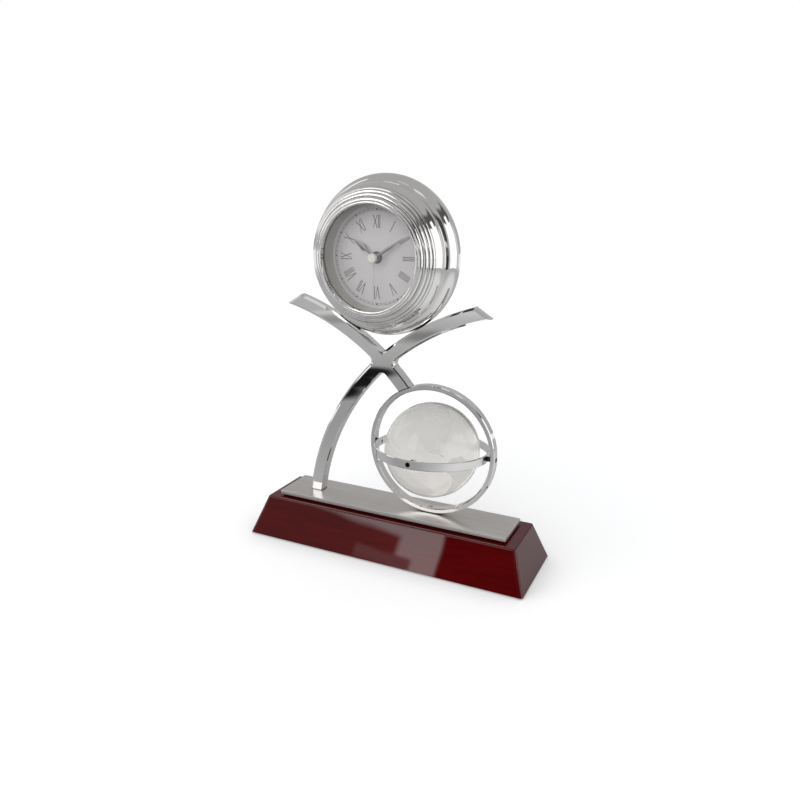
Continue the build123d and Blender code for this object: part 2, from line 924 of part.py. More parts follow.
def spacers(low, high):
    """Four posts that hold the bridge between the housing and its cover."""
    places = [Pos(x, y, 0) for x, y in spacer_places]
    return [place * disc(spacer_radius, low, high) for place in places]


def make_movement_case():
    """Front shell of the movement with its battery bay and the nose through the dial."""
    body = rounded_prism(movement_width, movement_width, movement_corner, movement_rear, movement_front)
    inside = 2 * movement_inside
    hollow = rounded_prism(
        inside, inside, movement_corner - movement_wall, movement_rear - cut_overrun, cavity_front
    )
    wall = Pos(0, bay_wall_top - movement_wall / 2, (movement_rear + cavity_front) / 2) * Box(
        inside, movement_wall, cavity_front - movement_rear
    )
    body = body - hollow + wall
    for spacer in spacers(bridge_front, cavity_front):
        body += spacer
    body += Pos(intermediate_distance, 0, 0) * disc(wheel_post_radius, bridge_rear, cavity_front)
    body += disc(nose_radius, movement_front, dial_front + nose_height)
    bore = hour_tube_radius + running_gap
    body -= disc(bore, cavity_front - cut_overrun, dial_front + nose_height + cut_overrun)
    return on_clock * body


def plate_across(low, high):
    """Plate that fills the housing above the battery bay."""
    left = 2 * (movement_inside - movement_gap)
    bottom = bay_wall_top + movement_gap
    top = movement_inside - movement_gap
    sheet = RectangleRounded(left, top - bottom, movement_corner - movement_wall)
    return extrude(Pos(0, (bottom + top) / 2, low) * sheet, high - low)


def make_movement_cover():
    """Rear plate with the bearings, the posts of the motor and the feet of the board."""
    plate = plate_across(movement_rear, movement_floor)
    for spacer in spacers(movement_floor, bridge_rear):
        plate += spacer
    third_top = third_wheel_rear - third_boss_gap
    plate += Pos(-third_distance, 0, 0) * disc(third_arbor_radius + boss_wall, movement_floor, third_top)
    for x, y, radius in ((step_x, step_y, step_arbor_radius), (rotor_x, rotor_y, rotor_arbor_radius)):
        plate += Pos(x, y, 0) * disc(radius + boss_wall, movement_floor, movement_floor + boss_height)
        plate -= Pos(x, y, 0) * disc(
            radius + running_gap, movement_floor + boss_height - arbor_hold, movement_rear + knob_height
        )
    plate -= Pos(-third_distance, 0, 0) * disc(
        third_arbor_radius + running_gap, third_top - arbor_hold, third_top + cut_overrun
    )
    for x, y in stator_post_places():
        plate += Pos(x, y, 0) * disc(stator_post_radius, movement_floor, stator_rear)
    for x, y in board_post_places():
        plate += Pos(x, y, 0) * disc(board_post_radius, movement_floor, movement_floor + board_lift)
    for x, y, radius in ((0, 0, second_arbor_radius), (knob_x, knob_z, knob_stem_radius)):
        plate -= Pos(x, y, 0) * disc(
            radius + running_gap, movement_rear - cut_overrun, movement_floor + cut_overrun
        )
    return on_clock * plate


def make_movement_bridge():
    """Plate between the hand wheels in front and the driving wheels behind."""
    plate = plate_across(bridge_rear, bridge_front)
    bores = wheel_places() + (
        (0, 0, minute_tube_radius),
        (intermediate_distance, 0, wheel_post_radius),
    )
    for x, y, radius in bores:
        plate -= Pos(x, y, 0) * disc(
            radius + running_gap, bridge_rear - cut_overrun, bridge_front + cut_overrun
        )
    return on_clock * plate


def make_battery():
    cell = Pos(-battery_length / 2, 0, 0) * Rot(Y=90) * disc(battery_radius, 0, battery_length)
    nub = Pos(battery_length / 2, 0, 0) * Rot(Y=90) * disc(battery_nub_radius, 0, battery_nub_length)
    shift = -battery_nub_length / 2
    return on_clock * Pos(shift, bay_z, battery_depth) * (cell + nub)


def make_battery_contacts():
    """Spring plates at both ends of the cell, against the bay's end walls."""
    depth = cavity_front - movement_rear - 2 * movement_wall
    middle = movement_rear + movement_wall + depth / 2
    plates = []
    for side in (-1, 1):
        plate = Pos(side * (movement_inside - contact_thickness / 2), bay_z, middle) * Box(
            contact_thickness, contact_width, depth
        )
        tongue = Pos(side * (movement_inside - contact_reach / 2), bay_z, battery_depth) * Box(
            contact_reach, contact_width / 2, contact_thickness
        )
        plates.append(on_clock * (plate + tongue))
    return Compound(children=plates)


def board_post_places():
    reach = board_length / 2 - board_post_inset
    return ((board_x - reach, board_y), (board_x + reach, board_y))


def make_circuit_board():
    rear = movement_floor + board_lift
    board = extrude(Pos(board_x, board_y, rear) * Rectangle(board_length, board_width), board_thickness)
    return on_clock * board


def stator_edges():
    """Left, right, low and high edges of the stator plate."""
    left = rotor_x - magnet_radius - magnet_gap - stator_wall
    right = rotor_x + stator_reach + stator_core / 2
    return left, right, bay_wall_top + stator_gap, stator_rise


def stator_post_places():
    left, right, low, high = stator_edges()
    middle = (left + right) / 2
    return ((left + stator_bar / 2, high - stator_bar / 2), (middle, low + stator_bar / 2))


def make_motor_stator():
    """Flat steel loop: its left bar goes round the magnet and its right bar is the coil's core."""
    left, right, low, high = stator_edges()
    inner_left = rotor_x + magnet_radius + magnet_gap + stator_wall
    inner_right = right - stator_core
    outline = Pos((left + right) / 2, (low + high) / 2) * Rectangle(right - left, high - low)
    outline -= Pos((inner_left + inner_right) / 2, (low + high) / 2) * Rectangle(
        inner_right - inner_left, high - low - 2 * stator_bar
    )
    outline -= Pos(rotor_x, rotor_y) * Circle(magnet_radius + magnet_gap)
    return on_clock * Pos(0, 0, stator_rear) * extrude(outline, stator_thickness)


def make_motor_coil():
    left, right, low, high = stator_edges()
    length = high - low - 2 * stator_bar - 2 * coil_end_gap
    core_x = right - stator_core / 2
    winding = Rot(X=90) * disc(coil_radius, -length / 2, length / 2)
    winding -= Box(stator_core + 2 * coil_gap, length + cut_overrun, stator_thickness + 2 * coil_gap)
    return on_clock * Pos(core_x, (low + high) / 2, stator_middle) * winding


# Wheels of the movement

def gear(teeth, module, phase, low, high):
    """Toothed disc with straight flanks; the middle of one tooth lies at the phase angle."""
    pitch_radius = teeth * module / 2
    root = pitch_radius - tooth_root_share * module
    tip = pitch_radius + tooth_tip_share * module
    corners = (
        (root, -tooth_root_width_share),
        (tip, -tooth_tip_width_share),
        (tip, tooth_tip_width_share),
        (root, tooth_root_width_share),
    )
    points = []
    for index in range(teeth):
        for radius, share in corners:
            turn = math.radians(phase + (index + share) * 360 / teeth)
            points.append((radius * math.cos(turn), radius * math.sin(turn)))
    outline = make_face(Polyline(*points, close=True))
    return extrude(Pos(0, 0, low) * outline, high - low)


def mesh_phase(direction, teeth, phase, follower_teeth):
    """Phase of a follower that stands in the given direction from a wheel and meshes with it."""
    carried = (direction - phase) * teeth / follower_teeth
    return direction + 180 + carried - 180 / follower_teeth


def make_motor_rotor():
    phase = mesh_phase(rotor_angle, step_wheel_teeth, rotor_angle, rotor_teeth)
    pinion = gear(
        rotor_teeth, step_module, phase, step_wheel_rear - pinion_reach, step_wheel_front + magnet_rise
    )
    arbor = disc(rotor_arbor_radius, movement_floor + boss_height - arbor_hold + slip_gap, bridge_front)
    return on_clock * Pos(rotor_x, rotor_y, 0) * (pinion + arbor)


def make_rotor_magnet():
    low = step_wheel_front + 2 * magnet_rise
    ring = disc(magnet_radius, low, low + magnet_height) - disc(
        rotor_arbor_radius, low - cut_overrun, low + magnet_height + cut_overrun
    )
    return on_clock * Pos(rotor_x, rotor_y, 0) * ring


def make_step_wheel():
    """Wheel that the rotor drives, with the pinion that drives the second wheel."""
    wheel = gear(step_wheel_teeth, step_module, rotor_angle, step_wheel_rear, step_wheel_front)
    phase = mesh_phase(step_angle, second_wheel_teeth, 0, step_pinion_teeth)
    pinion = gear(
        step_pinion_teeth,
        second_module,
        phase,
        second_wheel_rear - pinion_reach,
        second_wheel_front + pinion_reach,
    )
    arbor = disc(step_arbor_radius, movement_floor + boss_height - arbor_hold + slip_gap, bridge_front)
    return on_clock * Pos(step_x, step_y, 0) * (wheel + pinion + arbor)


def make_second_wheel():
    wheel = gear(second_wheel_teeth, second_module, 0, second_wheel_rear, second_wheel_front)
    wheel -= disc(second_arbor_radius, second_wheel_rear - cut_overrun, second_wheel_front + cut_overrun)
    return on_clock * wheel


def make_second_arbor():
    """Arbor of the second hand with the pinion that drives the third wheel."""
    arbor = disc(second_arbor_radius, movement_rear, cap_rear)
    pinion = gear(
        second_pinion_teeth, third_module, 180, third_wheel_rear - pinion_reach, third_wheel_front + pinion_reach
    )
    return on_clock * (arbor + pinion)


def make_third_wheel():
    """Wheel, pinion and arbor in one, between the second arbor and the minute wheel."""
    phase = mesh_phase(180, second_pinion_teeth, 180, third_wheel_teeth)
    wheel = gear(third_wheel_teeth, third_module, phase, third_wheel_rear, third_wheel_front)
    pinion = gear(
        third_pinion_teeth, minute_module, 0, minute_wheel_rear - pinion_reach, minute_wheel_front + pinion_reach
    )
    low = third_wheel_rear - third_boss_gap - arbor_hold + slip_gap
    arbor = disc(third_arbor_radius, low, bridge_front)
    return on_clock * Pos(-third_distance, 0, 0) * (wheel + pinion + arbor)


def make_minute_wheel():
    phase = mesh_phase(0, third_pinion_teeth, 0, minute_wheel_teeth)
    wheel = gear(minute_wheel_teeth, minute_module, phase, minute_wheel_rear, minute_wheel_front)
    wheel -= disc(minute_tube_radius, minute_wheel_rear - cut_overrun, minute_wheel_front + cut_overrun)
    return on_clock * wheel


def make_minute_tube():
    """Tube of the minute hand with the pinion that drives the intermediate wheel."""
    low = minute_wheel_rear - pinion_reach
    high = minute_hand_height + hand_thickness
    pinion = gear(
        minute_pinion_teeth,
        intermediate_module,
        0,
        intermediate_rear - pinion_reach,
        intermediate_front + pinion_reach,
    )
    bore = disc(minute_tube_bore, low - cut_overrun, high + cut_overrun)
    return on_clock * (disc(minute_tube_radius, low, high) + pinion - bore)


def intermediate_phase():
    return mesh_phase(0, minute_pinion_teeth, 0, intermediate_teeth)


def make_intermediate_wheel():
    """Wheel and pinion in one, on a post of the housing."""
    wheel = gear(
        intermediate_teeth, intermediate_module, intermediate_phase(), intermediate_rear, intermediate_front
    )
    pinion = gear(
        intermediate_pinion_teeth, hour_module, 180, intermediate_front, hour_wheel_front + pinion_reach
    )
    bore = disc(
        wheel_post_radius + running_gap, intermediate_rear - cut_overrun, hour_wheel_front + cut_overrun
    )
    return on_clock * Pos(intermediate_distance, 0, 0) * (wheel + pinion - bore)


def make_hour_wheel():
    phase = mesh_phase(180, intermediate_pinion_teeth, 180, hour_wheel_teeth)
    wheel = gear(hour_wheel_teeth, hour_module, phase, hour_wheel_rear, hour_wheel_front)
    wheel -= disc(hour_tube_radius, hour_wheel_rear - cut_overrun, hour_wheel_front + cut_overrun)
    return on_clock * wheel


def make_hour_tube():
    return on_clock * tube(
        hour_tube_radius, hour_tube_bore, hour_wheel_rear, hour_hand_height + hand_thickness
    )


def make_set_knob():
    """Ribbed knob with its stem and the toothed end that turns the intermediate wheel."""
    knob_top = movement_rear - running_gap
    knob = disc(knob_radius, knob_top - knob_height, knob_top)
    for index in range(knob_ribs):
        turn = 2 * math.pi * index / knob_ribs
        knob -= Pos(knob_radius * math.cos(turn), knob_radius * math.sin(turn), 0) * disc(
            knob_rib_radius, knob_top - knob_height - cut_overrun, knob_top + cut_overrun
        )
    stem = disc(knob_stem_radius, knob_top, intermediate_front + pinion_reach)
    phase = mesh_phase(knob_angle, intermediate_teeth, intermediate_phase(), knob_teeth)
    end = gear(
        knob_teeth,
        intermediate_module,
        phase,
        intermediate_rear - pinion_reach,
        intermediate_front + pinion_reach,
    )
    return on_clock * Pos(knob_x, knob_z, 0) * (knob + stem + end)


# Hands, drawn pointing at twelve and turned to the time shown

def hand_turn(angle):
    return Rot(Z=-angle)


def leaf_outline(length, width, hub_radius, waist_share, belly_share):
    """Leaf-shaped hand: waist at the hub, widest at the belly and a sharp tip."""
    belly = length * belly_share
    waist = width * waist_share
    right = Polyline((waist / 2, 0), (waist / 2, hub_radius), (width / 2, belly), (0, length))
    left = Polyline((0, length), (-width / 2, belly), (-waist / 2, hub_radius), (-waist / 2, 0), (waist / 2, 0))
    return make_face((Curve() + [right, left]).edges())


def hand(sketch, height, angle):
    return on_clock * Pos(0, 0, height) * hand_turn(angle) * extrude(sketch, hand_thickness)


def make_hour_hand():
    blade = leaf_outline(
        hour_hand_length, hour_hand_width, hour_hub_radius, hour_waist_share, hour_belly_share
    )
    sketch = blade + Circle(hour_hub_radius) - Circle(hour_tube_radius)
    return hand(sketch, hour_hand_height, hour_hand_angle)


def make_minute_hand():
    blade = leaf_outline(
        minute_hand_length, minute_hand_width, minute_hub_radius, minute_waist_share, minute_belly_share
    )
    sketch = blade + Circle(minute_hub_radius) - Circle(minute_tube_radius)
    return hand(sketch, minute_hand_height, minute_hand_angle)


def make_second_hand():
    blade = Pos(0, second_hand_length / 2) * Rectangle(second_hand_width, second_hand_length)
    sketch = blade + Circle(cap_radius) - Circle(second_arbor_radius)
    return hand(sketch, second_hand_height, second_hand_angle)


def make_hand_cap():
    cap = disc(cap_radius, cap_rear, cap_rear + cap_height)
    return on_clock * chamfer(cap.edges().sort_by(Axis.Z)[-1], cap_edge)


nodes = {
    "base_felt": make_felt,
    "base_block": make_base_block,
    "plate_pad": make_pad,
    "top_plate": make_plate,
    "foot_screw": make_foot_screw,
    "ring_screw": make_ring_screw,
    "cross_frame": make_cross_frame,
    "globe_ring": make_globe_ring,
    "arm_screw": make_arm_screw,
    "pivot_screws": make_pivot_screws,
    "gimbal_ring": make_gimbal_ring,
    "globe_pins": make_globe_pins,
    "crystal_globe": make_globe,
    "case_body": make_case_body,
    "case_screws": make_case_screws,
    "bezel": make_bezel,
    "glass": make_glass,
    "inner_rim": make_inner_rim,
    "dial": make_dial,
    "movement_holder": make_holder,
    "bezel_screws": make_bezel_screws,
    "rear_cover": make_rear_cover,
    "cover_screws": make_cover_screws,
    "movement_case": make_movement_case,
    "movement_cover": make_movement_cover,
    "movement_bridge": make_movement_bridge,
    "battery": make_battery,
    "battery_contacts": make_battery_contacts,
    "circuit_board": make_circuit_board,
    "motor_stator": make_motor_stator,
    "motor_coil": make_motor_coil,
    "motor_rotor": make_motor_rotor,
    "rotor_magnet": make_rotor_magnet,
    "step_wheel": make_step_wheel,
    "third_wheel": make_third_wheel,
    "intermediate_wheel": make_intermediate_wheel,
    "hour_tube": make_hour_tube,
    "hour_wheel": make_hour_wheel,
    "hour_hand": make_hour_hand,
    "minute_tube": make_minute_tube,
    "minute_wheel": make_minute_wheel,
    "minute_hand": make_minute_hand,
    "second_arbor": make_second_arbor,
    "second_wheel": make_second_wheel,
    "second_hand": make_second_hand,
    "hand_cap": make_hand_cap,
    "set_knob": make_set_knob,
}

os.makedirs("parts", exist_ok=True)
for name, make in nodes.items():
    export_step(make(), f"parts/{name}.step")
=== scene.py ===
import json
import math

import bmesh
import bpy
from mathutils import Matrix, Vector, noise


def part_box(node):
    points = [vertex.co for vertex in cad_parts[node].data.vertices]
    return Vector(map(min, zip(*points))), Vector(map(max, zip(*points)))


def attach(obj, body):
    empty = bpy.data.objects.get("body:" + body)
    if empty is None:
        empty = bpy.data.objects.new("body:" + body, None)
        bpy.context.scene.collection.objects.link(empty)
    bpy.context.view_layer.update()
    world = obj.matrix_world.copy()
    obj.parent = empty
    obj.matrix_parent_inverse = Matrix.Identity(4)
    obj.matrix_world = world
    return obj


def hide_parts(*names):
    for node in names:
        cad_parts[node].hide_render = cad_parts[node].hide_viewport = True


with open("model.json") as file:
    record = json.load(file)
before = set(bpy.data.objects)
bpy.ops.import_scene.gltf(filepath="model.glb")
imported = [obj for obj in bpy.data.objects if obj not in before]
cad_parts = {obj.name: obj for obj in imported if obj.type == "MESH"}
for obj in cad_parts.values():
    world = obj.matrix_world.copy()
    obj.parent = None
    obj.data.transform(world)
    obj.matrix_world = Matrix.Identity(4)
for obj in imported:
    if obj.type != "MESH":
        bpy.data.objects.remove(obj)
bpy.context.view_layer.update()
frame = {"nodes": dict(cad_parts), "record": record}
nodes = frame["nodes"]

MM = 0.001

# Camera, fitted to the photograph: place in the clock's frame, angles, focal length in millimetres
camera_place = Vector((188.8, -388.6, 227.0)) * MM
camera_yaw = math.radians(25.58)
camera_pitch = math.radians(16.24)
camera_roll = math.radians(0.43)
camera_lens = 31.95
camera_near = 10.0 * MM

# Dial print: radii on the dial, widths of the strokes and gaps
numeral_inner = 17.0 * MM
numeral_outer = 24.5 * MM
bold_stroke = 0.46 * MM
lean_stroke = 0.5 * MM
fine_stroke = 0.36 * MM
serif_stroke = 0.18 * MM
serif_reach = 0.1 * MM
stroke_gap = 0.52 * MM
numeral_lean = 2.6 * MM
numerals = ("XII", "I", "II", "III", "IIII", "V", "VI", "VII", "VIII", "IX", "X", "XI")
track_inner = 27.0 * MM
track_outer = 28.2 * MM
track_line = 0.17 * MM
tick_width = 0.3 * MM
track_steps = 180
dot_radius = 0.52 * MM
dot_steps = 16
minutes = 60
minutes_apart = 5
print_thickness = 0.03 * MM

# Hands: angle from twelve, clockwise, in degrees. The stem is as wide as the waist up to the neck, the leaf
# is widest at the belly, and the hub is given by its radius. Facets that lean down and left get painted
# shade.
hour_hand = {
    "angle": 304.8, "length": 18.9 * MM, "width": 3.5 * MM, "waist": 1.1 * MM,
    "neck": 7.0 * MM, "belly": 9.8 * MM, "hub": 2.6 * MM,
}
minute_hand = {
    "angle": 57.6, "length": 24.5 * MM, "width": 2.2 * MM, "waist": 1.5 * MM,
    "neck": 4.0 * MM, "belly": 11.0 * MM, "hub": 1.9 * MM,
}
facet_rise_share = 0.7
hub_steps = 40
weld_distance = 0.0001 * MM
# Facets that lean this way get painted shade, the others painted light
painted_shade_lean = (-0.7, 0.0, -0.7)

# Globe: land as a thin skin of rows and columns, with uneven coasts; all south of the cap is land
land_lift = 0.02 * MM
land_rings = 150
land_columns = 300
coast_roughness = 0.03
coast_scale = 5.0
coast_seed = 1
globe_turn = math.radians(-30)
south_cap = math.radians(-72)

# Floor for the camera and through glass: white, with a painted contact shadow where something stands on it
floor_size = 6.0
contact_distance = 22.0 * MM
contact_shade = (0.50, 0.50, 0.51)
floor_white = (0.80, 0.80, 0.80)
floor_glow = 0.29

# Floor for metal and lacquer, in metres: grey near the clock and white far from it
floor_tone_from, floor_tone_to = 0.8, 1.25
floor_tone_near, floor_tone_far = 0.47, 0.98
# Round patches of another tone: middle, radius where they start to fade and where they end, factor
floor_patches = (
    ((-0.228, -0.320), 0.018, 0.045, 0.03),
    ((-0.232, -0.370), 0.018, 0.045, 0.03),
    ((-0.236, -0.420), 0.018, 0.045, 0.03),
    ((-0.278, -0.680), 0.010, 0.090, 0.50),
    ((-0.500, -0.752), 0.010, 0.080, 0.60),
    ((-0.150, -0.330), 0.100, 0.300, 0.78),
    ((0.330, 0.000), 0.120, 0.420, 1.65),
)
# Sectors that carry the cards on below the horizon: direction from and to, distance they start at, tone
floor_sectors = (
    (-190.0, -140.0, 1.00, 0.50),
    (36.0, 60.0, 0.85, 0.60),
    (60.0, 120.0, 0.85, 1.20),
    (120.0, 131.0, 0.85, 0.50),
    (131.0, 166.0, 0.85, 0.04),
)
sector_softness = 1.5
sector_start_softness = 0.02

# Room for metal and lacquer: a grey level with cards. A card goes from one direction to another, then from
# one height to another, and has a softness and a level. All angles are in degrees; direction 0 is straight
# behind the clock and 90 is its right.
room_level = 0.41
room_cards = (
    (-76.0, 16.0, -3.0, 33.0, 3.0, 0.46),
    (-190.0, -138.0, -3.0, 6.0, 1.0, 0.38),
    (-138.0, -126.0, -3.0, 6.0, 1.0, 0.85),
    (-190.0, -138.0, 0.5, 2.4, 0.4, 1.80),
    (-190.0, -168.0, 4.0, 27.0, 2.0, 0.24),
    (144.0, 170.0, 55.0, 66.0, 2.0, 0.80),
    (-190.0, -147.0, 67.5, 71.5, 1.0, 0.70),
    (-138.0, -108.0, 5.0, 34.0, 3.0, 1.00),
    (-162.0, -136.0, 14.0, 45.0, 1.0, 1.90),
    (-108.0, -97.0, 5.0, 17.0, 2.0, 0.95),
    (-97.0, -84.0, 8.0, 52.0, 1.5, 1.10),
    (-84.0, -60.0, 15.0, 29.0, 2.0, 0.65),
    (-121.0, -109.0, 0.0, 5.0, 1.0, 0.08),
    (-160.4, -143.0, 7.0, 14.5, 0.25, 2.80),
    (-172.0, -160.4, 8.0, 15.5, 0.25, 0.02),
    (-157.0, -142.0, 8.6, 12.6, 0.35, 0.26),
    (-158.4, -153.7, 9.9, 10.9, 0.25, 0.75),
    (36.0, 60.0, -3.0, 23.0, 2.0, 0.65),
    (40.0, 124.0, 32.0, 49.0, 3.0, 0.09),
    (60.0, 120.0, -20.0, 32.0, 1.0, 1.22),
    (72.0, 96.0, 30.0, 40.5, 1.0, 1.22),
    (120.0, 131.0, -20.0, 28.0, 2.0, 0.50),
    (131.0, 178.0, 10.0, 33.0, 2.0, 0.06),
    (140.0, 168.0, 5.5, 10.0, 1.0, 0.88),
    (131.0, 166.0, -3.0, 5.5, 1.0, 0.12),
)
white = (1.0, 1.0, 1.0, 1.0)
fill_colour = (0.97, 0.98, 1.0, 1.0)
fill_level = 0.55

# Lamps: name, direction they shine from, angle they span in degrees, strength
lamps = (("key", (-0.5, -1.0, 0.85), 80.0, 1.5), ("fill", (0.6, -0.7, 0.8), 80.0, 0.5))


# Node helpers

def node(tree, kind, **settings):
    """New node in a tree, with its settings and, by name or number, its input values."""
    made = tree.nodes.new(kind)
    inputs = settings.pop("inputs", {})
    for key, value in settings.items():
        setattr(made, key, value)
    for key, value in inputs.items():
        if isinstance(value, bpy.types.NodeSocket):
            tree.links.new(value, made.inputs[key])
        else:
            made.inputs[key].default_value = value
    return made


def new_material(name, **shader_values):
    """Material with one Principled shader; returns the material, its tree and the shader."""
    material = bpy.data.materials.new(name)
    material.use_nodes = True
    tree = material.node_tree
    shader = tree.nodes["Principled BSDF"]
    for key, value in shader_values.items():
        shader.inputs[key.replace("_", " ")].default_value = value
    return material, tree, shader


def object_noise(tree, scale, detail=4.0, stretch=(1, 1, 1), roughness=0.5):
    """Noise in the object's own coordinates, in metres, stretched along the axes."""
    place = node(tree, "ShaderNodeTexCoord")
    mapping = node(tree, "ShaderNodeMapping", inputs={"Vector": place.outputs["Object"], "Scale": stretch})
    return node(
        tree,
        "ShaderNodeTexNoise",
        inputs={"Vector": mapping.outputs[0], "Scale": scale, "Detail": detail, "Roughness": roughness},
    ).outputs["Fac"]


def ramp(tree, fac, *stops):
    """Colour ramp; each stop is a place and a colour."""
    made = node(tree, "ShaderNodeValToRGB", inputs={"Fac": fac})
    elements = made.color_ramp.elements
    while len(elements) < len(stops):
        elements.new(0.5)
    for element, (place, colour) in zip(elements, stops):
        element.position = place
        element.color = (*colour, 1.0)
    return made.outputs["Color"]


def spread(tree, fac, low, high):
    """Number between low and high, by a value from 0 to 1."""
    return node(
        tree, "ShaderNodeMapRange", inputs={"Value": fac, "To Min": low, "To Max": high}
    ).outputs["Result"]


def calc(tree, operation, *values):
    """Result of a sum on numbers and node outputs."""
    return node(tree, "ShaderNodeMath", operation=operation, inputs=dict(enumerate(values))).outputs[0]


def ease(tree, value, start, end, low=0.0, high=1.0):
    """Number that goes softly from low to high while a value goes from start to end."""
    return node(
        tree,
        "ShaderNodeMapRange",
        interpolation_type="SMOOTHSTEP",
        inputs={"Value": value, "From Min": start, "From Max": end, "To Min": low, "To Max": high},
    ).outputs["Result"]


def between(tree, value, start, end, softness):
    """1 where a value lies between two limits, falling softly to 0 outside."""
    rise = ease(tree, value, start - softness, start + softness)
    fall = ease(tree, value, end - softness, end + softness, 1.0, 0.0)
    return calc(tree, "MULTIPLY", rise, fall)


def tinted(tree, colour, tint, share=1.0):
    """Colour multiplied by a tint."""
    inputs = {0: share, 6: colour, 7: tint}
    return node(tree, "ShaderNodeMix", data_type="RGBA", blend_type="MULTIPLY", inputs=inputs).outputs[2]


def openness(tree, distance, samples):
    """1 on open surface, less in corners and grooves."""
    made = node(tree, "ShaderNodeAmbientOcclusion", samples=samples, inputs={"Distance": distance})
    return made.outputs["AO"]


def bump(tree, shader, height, distance, socket="Normal"):
    """Bumps on a shader, from a height of 0 to 1 and the distance it stands for."""
    made = node(tree, "ShaderNodeBump", inputs={"Height": height, "Distance": distance})
    tree.links.new(made.outputs["Normal"], shader.inputs[socket])


# Materials

def chrome():
    """Mirror plate with faint hazing, slight waviness and painted shade in the grooves."""
    material, tree, shader = new_material("chrome", Metallic=1.0)
    haze = object_noise(tree, scale=60.0, detail=5.0)
    tint = ramp(tree, haze, (0.3, (0.875, 0.862, 0.85)), (0.7, (0.915, 0.902, 0.89)))
    # Painted shade: the base colour goes near black in grooves and corners, where the surface is least
    # open.
    open_share = openness(tree, 1.1 * MM, 8)
    painted_groove_shade = ramp(tree, open_share, (0.58, (0.05, 0.048, 0.045)), (0.89, (1.0, 1.0, 1.0)))
    tree.links.new(tinted(tree, tint, painted_groove_shade), shader.inputs["Base Color"])
    tree.links.new(spread(tree, haze, 0.01, 0.035), shader.inputs["Roughness"])
    bump(tree, shader, object_noise(tree, scale=25.0, detail=2.0), 0.04 * MM)
    return material


def machined_steel(name, light, dark, roughness):
    """Turned steel with fine tool marks."""
    material, tree, shader = new_material(name, Metallic=1.0)
    marks = object_noise(tree, scale=900.0, detail=3.0)
    tree.links.new(ramp(tree, marks, (0.3, dark), (0.7, light)), shader.inputs["Base Color"])
    tree.links.new(spread(tree, marks, roughness, roughness + 0.15), shader.inputs["Roughness"])
    bump(tree, shader, marks, 0.01 * MM)
    return material


def brushed_plate():
    """Aluminium brushed along the base, with fine long scratches."""
    material, tree, shader = new_material("brushed_plate", Metallic=1.0, Anisotropic=0.5)
    lines = object_noise(tree, scale=900.0, detail=6.0, stretch=(0.035, 1.0, 1.0), roughness=0.65)
    cloud = object_noise(tree, scale=22.0, detail=3.0)
    both = calc(tree, "MULTIPLY_ADD", cloud, 0.25, lines)
    tint = ramp(tree, both, (0.35, (0.66, 0.635, 0.615)), (0.8, (0.84, 0.81, 0.785)))
    tree.links.new(tint, shader.inputs["Base Color"])
    tree.links.new(spread(tree, lines, 0.30, 0.46), shader.inputs["Roughness"])
    bump(tree, shader, lines, 0.02 * MM)
    return material


def lacquered_wood():
    """Red mahogany stain under thick clear lacquer: long dark grain and short pores."""
    material, tree, shader = new_material(
        "lacquered_wood",
        Roughness=0.42,
        Specular_IOR_Level=0.0,
        Coat_Weight=1.0,
        Coat_Roughness=0.015,
        Coat_IOR=1.5,
    )
    figure = object_noise(tree, scale=26.0, detail=6.0, stretch=(0.16, 1.0, 1.0), roughness=0.6)
    pores = object_noise(tree, scale=700.0, detail=4.0, stretch=(0.06, 1.0, 1.0), roughness=0.7)
    stain = ramp(
        tree,
        figure,
        (0.25, (0.046, 0.0006, 0.0010)),
        (0.48, (0.068, 0.0010, 0.0015)),
        (0.72, (0.096, 0.0018, 0.0026)),
    )
    pore_tint = ramp(tree, pores, (0.36, (0.62, 0.60, 0.60)), (0.56, (1.0, 1.0, 1.0)))
    tree.links.new(tinted(tree, stain, pore_tint, 0.75), shader.inputs["Base Color"])
    bump(tree, shader, pores, 0.03 * MM)
    bump(tree, shader, object_noise(tree, scale=14.0, detail=2.0), 0.12 * MM, socket="Coat Normal")
    return material


def felt():
    """Dark matt felt with short fibres."""
    material, tree, shader = new_material("felt", Roughness=0.95, Sheen_Weight=0.6, Sheen_Roughness=0.5)
    fibres = object_noise(tree, scale=2200.0, detail=6.0, roughness=0.75)
    tint = ramp(tree, fibres, (0.3, (0.012, 0.014, 0.012)), (0.75, (0.05, 0.058, 0.05)))
    tree.links.new(tint, shader.inputs["Base Color"])
    bump(tree, shader, fibres, 0.2 * MM)
    return material


def plastic(name, dark, light, roughness, grain=1500.0, depth=0.02 * MM):
    """Moulded plastic with a fine spark-eroded grain."""
    material, tree, shader = new_material(name)
    texture = object_noise(tree, scale=grain, detail=3.0)
    tree.links.new(ramp(tree, texture, (0.3, dark), (0.7, light)), shader.inputs["Base Color"])
    tree.links.new(spread(tree, texture, roughness, roughness + 0.12), shader.inputs["Roughness"])
    bump(tree, shader, texture, depth)
    return material


def inner_rim():
    """Satin olive grey ring between the glass and the dial, a little lighter in places."""
    material, tree, shader = new_material("rim", Metallic=0.55)
    cloud = object_noise(tree, scale=45.0, detail=3.0)
    tint = ramp(tree, cloud, (0.3, (0.38, 0.37, 0.33)), (0.7, (0.48, 0.47, 0.42)))
    tree.links.new(tint, shader.inputs["Base Color"])
    tree.links.new(spread(tree, cloud, 0.28, 0.4), shader.inputs["Roughness"])
    return material


def dial_face():
    """Satin silver with a lilac tint and a very fine blasted grain."""
    material, tree, shader = new_material("dial_face", Metallic=0.35)
    grain = object_noise(tree, scale=3500.0, detail=3.0)
    cloud = object_noise(tree, scale=30.0, detail=2.0)
    both = calc(tree, "MULTIPLY_ADD", grain, 0.4, cloud)
    tint = ramp(tree, both, (0.4, (0.580, 0.555, 0.566)), (0.9, (0.680, 0.654, 0.660)))
    tree.links.new(tint, shader.inputs["Base Color"])
    tree.links.new(spread(tree, grain, 0.42, 0.55), shader.inputs["Roughness"])
    bump(tree, shader, grain, 0.008 * MM)
    return material


